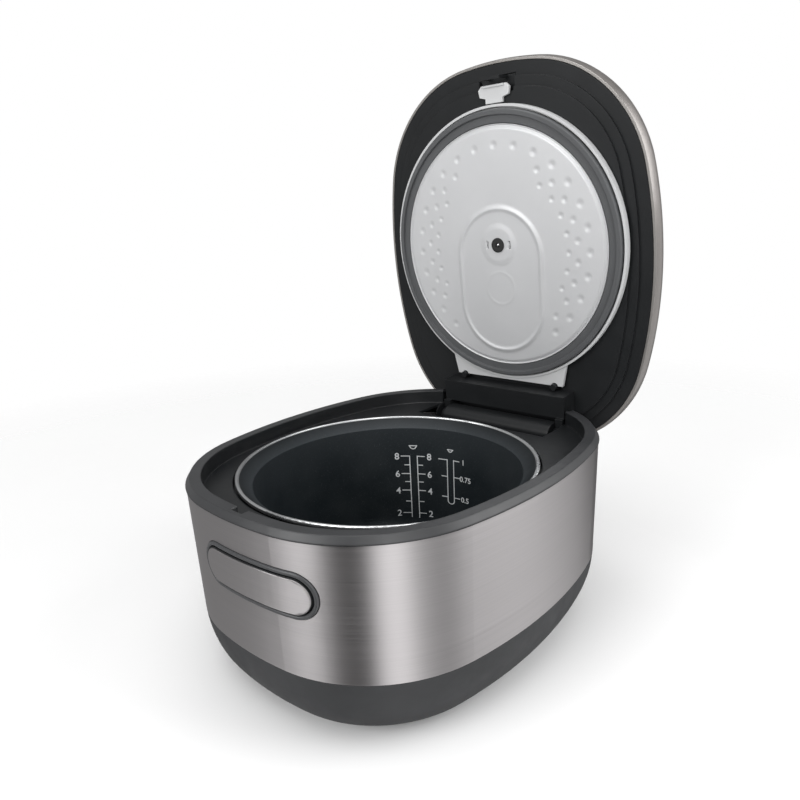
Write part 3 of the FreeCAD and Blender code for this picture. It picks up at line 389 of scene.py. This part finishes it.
BY_SLOT = {
    "dark_grey_plastic": BASE_GREY, "black_plastic": BLACK, "rim_plastic": DECK, "band_steel": BAND,
    "button_steel": BUTTON, "rubber": RUBBER, "gasket_rubber": GASKET, "steel": STEEL, "spring_steel": SPRING,
    "sheet_metal": SHEET, "cast_aluminium": CAST, "lid_aluminium": ALUMINIUM, "pot_coating": POT,
    "white_plastic": WHITE, "champagne_shell": SHELL, "gloss_black": GLOSS, "board_green": BOARD,
    "part_black": PART_BLACK, "display_glass": DISPLAY, "ceramic_white": CERAMIC, "pin_brass": BRASS,
}
for part in frame["record"]["subparts"]:
    data = NODES[part["node"]].data
    data.materials.clear()
    data.materials.append(BY_SLOT[part["material_slot"]])


# ---------------------------------------------------------------- mesh helpers

def make_piece(name, points, faces, materials, smooth=True):
    data = bpy.data.meshes.new(name)
    data.from_pydata([tuple(p) for p in points], [], faces)
    data.validate()
    piece = bpy.data.objects.new(name, data)
    bpy.context.scene.collection.objects.link(piece)
    for material in materials:
        data.materials.append(material)
    if smooth:
        data.shade_smooth()
    return piece


def loops_to_faces(count, rings, close=True):
    faces = []
    for r in range(rings - 1):
        for i in range(count if close else count - 1):
            j = (i + 1) % count
            faces.append((r * count + i, r * count + j, (r + 1) * count + j, (r + 1) * count + i))
    return faces


def smooth_step(value, start, stop):
    t = min(1.0, max(0.0, (value - start) / (stop - start)))
    return t * t * (3 - 2 * t)


# ---------------------------------------------------------------- inner lid plate

# Millimetres on the closed lid, from the pot axis.
PLATE_EDGE = 99.6
PLATE_SINK = 0.7
VALVE_HOLE = 4.9
FIELD_Y = 25.4
FIELD_HALF = 61.2
FIELD_RADIUS = 41


def slot_distance(x, y, half, radius):
    """Distance from a slot shape along y, centred on the origin; negative inside."""
    reach = max(0.0, abs(y) - (half - radius))
    return math.hypot(x, reach) - radius


def plate_dimples():
    """Centres and radii of the pressed dimples: three rows, counted in degrees from the lid's free end."""
    pitch = 360 / 28
    rows = ((84.5, 3.6, 0, 146, 146), (74.5, 3.1, 6, 135, 135), (66.0, 2.6, 13, 125, 125))
    found = []
    for radius, size, shift, right_stop, left_stop in rows:
        for k in range(28):
            angle = k * pitch + shift
            side = angle if angle <= 180 else angle - 360
            start = 0 if radius > 80 else (19 if side > 0 else 32) + (9 if radius < 70 else 0)
            if abs(side) < start or side > right_stop or -side > left_stop:
                continue
            turn = math.radians(angle)
            found.append((radius * math.sin(turn), -radius * math.cos(turn), size))
    return found


DIMPLES = plate_dimples()


def plate_height(x, y, valve_y, field_y):
    """How far the pressed plate stands out toward the pot at a point, in millimetres."""
    ridge = slot_distance(x, y - field_y, FIELD_HALF, FIELD_RADIUS)
    height = 0.3 * smooth_step(-ridge, -1.6, 1.6) + 0.85 * math.exp(-((ridge / 1.9) ** 2))
    away = math.hypot(x, y - valve_y)
    height += 0.6 * smooth_step(-away, -19, -12.5)
    height += 0.12 * math.exp(-(((math.hypot(x, y - valve_y - 37) - 14) / 1.2) ** 2))
    height -= 1.1 * smooth_step(math.hypot(x, y), 95.6, 98.8)
    for dx, dy, size in DIMPLES:
        if abs(x - dx) < size + 1 and abs(y - dy) < size + 1:
            far = math.hypot(x - dx, y - dy)
            height -= 0.62 * smooth_step(-far, -(size + 0.6), 0.6)
    return height


def inner_lid_face():
    """Pressed plate with its rows of dimples, slot-shaped field, valve boss and steam slots; the steam slots are
    shallow dents painted black as painted shade in place of open holes.
    """
    low, high = closed_box("inner_lid_plate")
    seat_low, seat_high = closed_box("valve_seat")
    valve_y = (seat_low.y + seat_high.y) / 2 / MM
    flat = low.z + PLATE_SINK * MM
    count, rings = 540, 150
    points, slot_painted_shade = [], []
    for r in range(rings + 1):
        t = (r / rings) ** 0.9
        for i in range(count):
            turn = 2 * math.pi * i / count
            inner = Vector((VALVE_HOLE * math.cos(turn), valve_y + VALVE_HOLE * math.sin(turn)))
            outer = Vector(((PLATE_EDGE - 0.8) * math.cos(turn), (PLATE_EDGE - 0.8) * math.sin(turn)))
            p = inner.lerp(outer, t)
            slot = slot_distance(abs(p.x) - 11, p.y - valve_y, 3.5, 0.8)
            drop = 1.6 * smooth_step(-slot, -0.05, 0.35)
            height = plate_height(p.x, p.y, valve_y, FIELD_Y) - drop
            points.append(Vector((p.x * MM, p.y * MM, flat - height * MM)))
            slot_painted_shade.append(slot < 0.1)
    for back, lift in ((0.35, 0.12), (0.05, 0.5), (0, 1.1), (0, 4.0)):
        radius = PLATE_EDGE - back
        for i in range(count):
            turn = 2 * math.pi * i / count
            x, y = radius * MM * math.cos(turn), radius * MM * math.sin(turn)
            points.append(Vector((x, y, flat + lift * MM)))
            slot_painted_shade.append(False)
    total = rings + 5
    faces = loops_to_faces(count, total)
    piece = make_piece("inner_lid_face", [OPEN_LID @ p for p in points], faces, [ALUMINIUM, BLACK])
    # painted shade: the steam slot dents take black plastic, standing in for the dark seen through open slots
    for polygon in piece.data.polygons:
        if all(slot_painted_shade[v] for v in polygon.vertices):
            polygon.material_index = 1
    thick = piece.modifiers.new("sheet", "SOLIDIFY")
    thick.thickness = 0.0006
    thick.offset = -1
    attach(piece, "inner_lid")
    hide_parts("inner_lid_plate")


# ---------------------------------------------------------------- button and bezel

def front_wall():
    """Depth of the steel front at any x, from the band above the button."""
    tree = tree_of("steel_band")
    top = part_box("steel_band")[1][2] - 0.002

    def depth(x):
        hit = tree.ray_cast(Vector((x, -1.0, top)), Vector((0, 1, 0)))
        return hit[0].y

    return depth


STRAIGHT = 40
BEND = 28


def stadium_loop(half_length, half_height):
    """Points round a slot shape, the same number for every size."""
    reach = half_length - half_height
    loop = []
    for i in range(BEND):
        turn = -math.pi / 2 + math.pi * i / BEND
        loop.append((reach + half_height * math.cos(turn), half_height * math.sin(turn)))
    for i in range(STRAIGHT):
        loop.append((reach - 2 * reach * i / STRAIGHT, half_height))
    for i in range(BEND):
        turn = math.pi / 2 + math.pi * i / BEND
        loop.append((-reach + half_height * math.cos(turn), half_height * math.sin(turn)))
    for i in range(STRAIGHT):
        loop.append((-reach + 2 * reach * i / STRAIGHT, -half_height))
    return loop


def front_sweep(name, node_name, profile, materials, centre=None, fill=False):
    """A slot-shaped piece on the curved front, from pairs of inset and height above the steel in millimetres."""
    low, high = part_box(node_name)
    cx, cz = (low[0] + high[0]) / 2, (low[2] + high[2]) / 2
    half_x, half_z = (high[0] - low[0]) / 2, (high[2] - low[2]) / 2
    depth = front_wall()
    cache = {}
    points = []
    for inset, height in profile:
        loop = stadium_loop(half_x - inset * MM, half_z - inset * MM)
        for x, z in loop:
            key = round(x, 5)
            if key not in cache:
                left, right = depth(cx + x - 0.001), depth(cx + x + 0.001)
                slope = (right - left) / 0.002
                normal = Vector((slope, -1.0)).normalized()
                cache[key] = (depth(cx + x), normal)
            y, normal = cache[key]
            points.append(Vector((cx + x + normal.x * height * MM, y + normal.y * height * MM, cz + z)))
    count = len(points) // len(profile)
    faces = loops_to_faces(count, len(profile))
    if fill:
        start = count * (len(profile) - 1)
        for i in range(STRAIGHT):
            top = BEND + i
            bottom = 2 * BEND + 2 * STRAIGHT - i
            faces.append((start + top, start + top + 1, start + bottom - 1, start + bottom % count))
        faces.append(tuple(start + i for i in range(BEND + 1)))
        faces.append(tuple(start + BEND + STRAIGHT + i for i in range(BEND + 1)))
    return make_piece(name, points, faces, materials)


def button_bezel():
    """Ring round the button with a rounded front and a gap to the steel and to the button's face."""
    profile = [(0, -0.8), (0, 0.5), (0.14, 0.85), (0.42, 1.12), (0.85, 1.34), (1.4, 1.46), (2.0, 1.45),
               (2.45, 1.25), (2.8, 0.85), (2.95, 0.4), (3.0, 0.0), (3.0, -2.6)]
    piece = front_sweep("button_ring", "button_bezel", profile, [RIM])
    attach(piece, "base")
    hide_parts("button_bezel")


def button_face():
    """Brushed face of the button with a rounded edge."""
    profile = [(0, 1.5), (0, 1.85), (0.08, 2.05), (0.28, 2.17), (0.6, 2.2), (1.6, 2.2), (3.5, 2.2), (5.5, 2.2),
               (7.5, 2.2), (9.5, 2.2), (11.3, 2.2), (11.95, 2.2)]
    piece = front_sweep("button_face", "button_plate", profile, [BUTTON], fill=True)
    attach(piece, "button")
    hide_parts("button_plate")


# ---------------------------------------------------------------- marks on the pot wall

POT_RADIUS = 103.5
PER_MM = math.degrees(1 / POT_RADIUS)


def wall_mesh(name, shapes):
    """Joins flat shapes, given in degrees round the pot and height in millimetres, into one thin print."""
    radius = POT_RADIUS * MM - 0.00012
    points, faces = [], []
    for outline_points, shape_faces in shapes:
        start = len(points)
        for degrees, height in outline_points:
            turn = math.radians(degrees)
            points.append(Vector((radius * math.cos(turn), radius * math.sin(turn), height * MM)))
        faces += [tuple(start + i for i in face) for face in shape_faces]
    piece = make_piece(name, points, faces, [PRINT], smooth=False)
    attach(piece, "pot")
    return piece


def bar(start, stop, low, high):
    """A rectangle between two angles and two heights."""
    steps = max(1, int(abs(stop - start) / 0.8))
    points, faces = [], []
    for i in range(steps + 1):
        turn = start + (stop - start) * i / steps
        points += [(turn, low), (turn, high)]
    for i in range(steps):
        a = 2 * i
        faces.append((a, a + 1, a + 3, a + 2))
    return points, faces


def arc_strip(turn, height, radius, width, start, stop, steps=20):
    points, faces = [], []
    for i in range(steps + 1):
        a = math.radians(start + (stop - start) * i / steps)
        for r in (radius - width / 2, radius + width / 2):
            points.append((turn - r * math.cos(a) * PER_MM, height + r * math.sin(a)))
    for i in range(steps):
        a = 2 * i
        faces.append((a, a + 1, a + 3, a + 2))
    return points, faces


def digits(text, turn, height, size):
    """Plain numerals centred on an angle and a height; size is their height."""
    curve = bpy.data.curves.new("numeral", "FONT")
    curve.body = text
    curve.size = size / 0.72
    curve.align_x = "CENTER"
    curve.resolution_u = 4
    curve.offset = 0.02 * size
    made = bpy.data.objects.new("numeral", curve)
    bpy.context.scene.collection.objects.link(made)
    bpy.context.view_layer.update()
    data = bpy.data.meshes.new_from_object(made.evaluated_get(bpy.context.evaluated_depsgraph_get()))
    points = [(turn - v.co.x * PER_MM, height - size / 2 + v.co.y) for v in data.vertices]
    faces = [tuple(p.vertices) for p in data.polygons]
    bpy.data.objects.remove(made)
    bpy.data.curves.remove(curve)
    bpy.data.meshes.remove(data)
    return points, faces


def pot_marks():
    """Level lines, ticks and numbers of the two scales, each under a small bowl sign."""
    line = 0.85
    wide = line * PER_MM
    levels = {8: 113.3, 7: 104.5, 6: 95.7, 5: 87.5, 4: 78.8, 3: 67.4, 2: 55.3}
    shapes = []
    for turn in (122.0, 118.0):
        shapes.append(bar(turn - wide / 2, turn + wide / 2, 36.5, levels[8] + line / 2))
    for number, height in levels.items():
        left, right = (4.6, 4.0) if number % 2 == 0 else (2.9, 2.9)
        shapes.append(bar(122.0, 122.0 + left, height - line / 2, height + line / 2))
        shapes.append(bar(118.0 - right, 118.0, height - line / 2, height + line / 2))
        if number % 2 == 0:
            shapes.append(digits(str(number), 128.6, height, 6.5))
            shapes.append(digits(str(number), 111.7, height, 6.5))
    shapes.append(arc_strip(120, 123.5, 3.0, 0.9, 180, 360))
    shapes.append(bar(120 - 4.0 * PER_MM, 120 + 4.0 * PER_MM, 123.1, 124.0))
    wall_mesh("level_marks", shapes)
    shapes = []
    near, far = 98.2, 101.8
    middle = (near + far) / 2
    for turn in (near, far):
        shapes.append(bar(turn - wide / 2, turn + wide / 2, 72.0, 113.0))
    shapes.append(arc_strip(middle, 72.0, (far - near) / 2 / PER_MM, line, 180, 360))
    labels = (("1", 112.4, 92.6, 4.9), ("0.75", 96.0, 91.4, 3.3), ("0.5", 75.5, 91.8, 3.3))
    for text, height, centre, reach in labels:
        shapes.append(bar(near - 3.4, near, height - line / 2, height + line / 2))
        shapes.append(bar(far, far + reach, height - line / 2, height + line / 2))
        shapes.append(digits(text, centre, height, 5.2))
    shapes.append(arc_strip(middle, 122.5, 2.2, 0.8, 180, 360))
    shapes.append(bar(middle - 3.2 * PER_MM, middle + 3.2 * PER_MM, 122.1, 122.9))
    wall_mesh("second_marks", shapes)


# ---------------------------------------------------------------- panel marks on the lid

def panel_marks():
    """Generic key rings and a display window on the touch panel."""
    low, high = closed_box("control_panel")
    cx, cy = (low.x + high.x) / 2, (low.y + high.y) / 2
    top = high.z + 0.00004
    points, faces = [], []

    def ring(x, y, radius, width, steps=36):
        start = len(points)
        for i in range(steps):
            turn = 2 * math.pi * i / steps
            for r in (radius - width / 2, radius + width / 2):
                points.append(Vector((x + r * math.cos(turn), y + r * math.sin(turn), top)))
        for i in range(steps):
            a, b = start + 2 * i, start + 2 * ((i + 1) % steps)
            faces.append((a, a + 1, b + 1, b))

    def frame_line(x0, y0, x1, y1, width):
        sides = ((x0, y0, x1, y0 + width), (x0, y1 - width, x1, y1),
                 (x0, y0 + width, x0 + width, y1 - width), (x1 - width, y0 + width, x1, y1 - width))
        for ax, ay, bx, by in sides:
            start = len(points)
            points.extend(Vector(p) for p in ((ax, ay, top), (bx, ay, top), (bx, by, top), (ax, by, top)))
            faces.append((start, start + 1, start + 2, start + 3))

    frame_line(cx - 0.021, cy - 0.009, cx + 0.021, cy + 0.017, 0.0004)
    for x in (-0.034, 0.034):
        for y in (-0.012, 0.004, 0.020):
            ring(cx + x, cy + y, 0.0048, 0.0005)
            ring(cx + x, cy + y, 0.0012, 0.0005)
    ring(cx, cy - 0.021, 0.0062, 0.0006)
    ring(cx, cy - 0.021, 0.0022, 0.0005)
    piece = make_piece("panel_marks", [OPEN_LID @ p for p in points], faces, [PRINT], smooth=False)
    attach(piece, "lid")


inner_lid_face()
button_bezel()
button_face()
pot_marks()
panel_marks()


# ---------------------------------------------------------------- floor, light and camera

def floor():
    """Pale paper that fades into the backdrop away from the cooker, so that no horizon shows."""
    material, tree, shader = new_material("floor_paper")
    here = position(tree)
    cloud = spread(tree, noise(tree, here, 3), 0, 1)
    paper = blend_colour(tree, cloud, (0.86, 0.86, 0.86), (0.88, 0.88, 0.88))
    tree.links.new(paper, shader.inputs["Base Color"])
    shader.inputs["Roughness"].default_value = 0.9
    away = node(tree, "ShaderNodeVectorMath", operation="LENGTH")
    tree.links.new(here, away.inputs[0])
    tree.links.new(spread(tree, away.outputs["Value"], 1, 0, 0.30, 1.10), shader.inputs["Alpha"])
    points = [Vector(p) for p in ((-6, -6, 0), (6, -6, 0), (6, 6, 0), (-6, 6, 0))]
    piece = make_piece("floor", points, [(0, 1, 2, 3)], [material], smooth=False)
    piece.visible_glossy = False
    piece.visible_shadow = False


def softbox(name, azimuth, height, distance, width, tall, power, target=(0, 0.02, 0.16)):
    """A rectangular soft light; azimuth 0 stands in front, 90 on the right."""
    lamp = bpy.data.lights.new(name, "AREA")
    lamp.shape = "RECTANGLE"
    lamp.size = width
    lamp.size_y = tall
    lamp.energy = power
    made = bpy.data.objects.new(name, lamp)
    turn = math.radians(azimuth)
    made.location = (distance * math.sin(turn), -distance * math.cos(turn), height)
    aim = Vector(target) - made.location
    made.rotation_euler = aim.to_track_quat("-Z", "Y").to_euler()
    bpy.context.scene.collection.objects.link(made)


# Direction round the cooker in degrees, as for a softbox, and brightness of the panel there.
PANELS = ((-180, 0.08), (-120, 0.13), (-80, 0.17), (-50, 0.18), (-28, 0.16), (-14, 0.36), (-6, 0.34), (4, 0.05),
          (12, 0.0), (33, 0.0), (46, 0.72), (61, 0.76), (76, 0.36), (90, 0.22), (112, 0.23), (140, 0.34),
          (160, 0.40), (169, 0.06), (180, 0.06))
PANEL_STRENGTH = 2.0


def studio():
    """Soft panels stood round the cooker, with a dark gap where the camera stands, and four softboxes."""
    world = bpy.data.worlds.new("studio")
    world.use_nodes = True
    bpy.context.scene.world = world
    tree = world.node_tree
    sky = tree.nodes["Background"]
    source = node(tree, "ShaderNodeTexCoord")
    split = node(tree, "ShaderNodeSeparateXYZ")
    tree.links.new(source.outputs["Generated"], split.inputs[0])
    front = math_node(tree, "MULTIPLY", split.outputs["Y"], -1.0)
    turn = math_node(tree, "ARCTAN2", split.outputs["X"], front)
    ramp = node(tree, "ShaderNodeValToRGB")
    ramp.color_ramp.interpolation = "EASE"
    stops = ramp.color_ramp.elements
    while len(stops) > 1:
        stops.remove(stops[-1])
    for index, (azimuth, light) in enumerate(PANELS):
        stop = stops[0] if index == 0 else stops.new(1.0)
        stop.position = (azimuth + 180) / 360
        stop.color = (light, light, light, 1)
    tree.links.new(spread(tree, turn, 0, 1, -math.pi, math.pi), ramp.inputs["Fac"])
    high = spread(tree, split.outputs["Z"], 0, 1, 0.55, 0.95)
    around = blend_colour(tree, high, ramp.outputs["Color"], (0.22, 0.22, 0.22))
    path = node(tree, "ShaderNodeLightPath")
    seen = path.outputs["Is Camera Ray"]
    tree.links.new(blend_colour(tree, seen, around, (1.0, 1.0, 1.0)), sky.inputs["Color"])
    tree.links.new(spread(tree, seen, PANEL_STRENGTH, 1.0, 0, 1), sky.inputs["Strength"])
    softbox("left_box", -12, 0.85, 1.6, 1.1, 0.9, 15)
    softbox("strip_box", 54, 1.10, 1.5, 0.40, 1.2, 5)
    softbox("right_box", 122, 1.00, 1.5, 1.1, 1.1, 14)
    softbox("top_box", 0, 2.0, 0.2, 1.8, 1.8, 20)
    bpy.context.scene.view_settings.view_transform = "Standard"


def camera():
    """Eye level a little above the open lid's hinge, in front and to the right."""
    azimuth, elevation, roll = math.radians(42.22), math.radians(20.01), math.radians(-2.91)
    back = Vector((math.sin(azimuth) * math.cos(elevation), -math.cos(azimuth) * math.cos(elevation),
                   math.sin(elevation)))
    right = Vector((math.cos(azimuth), math.sin(azimuth), 0))
    up = back.cross(right)
    across = right * math.cos(roll) + up * math.sin(roll)
    upward = up * math.cos(roll) - right * math.sin(roll)
    lens = bpy.data.cameras.new("camera")
    lens.lens = 30.376
    lens.sensor_width = 36
    lens.shift_x = -0.00276
    lens.shift_y = 0.0650
    lens.clip_start = 0.01
    made = bpy.data.objects.new("camera", lens)
    place = Matrix((across, upward, back)).transposed().to_4x4()
    place.translation = Vector((0, 0.0174, 0.150)) + back * 0.53279
    made.matrix_world = place
    bpy.context.scene.collection.objects.link(made)
    bpy.context.scene.camera = made


floor()
studio()
camera()
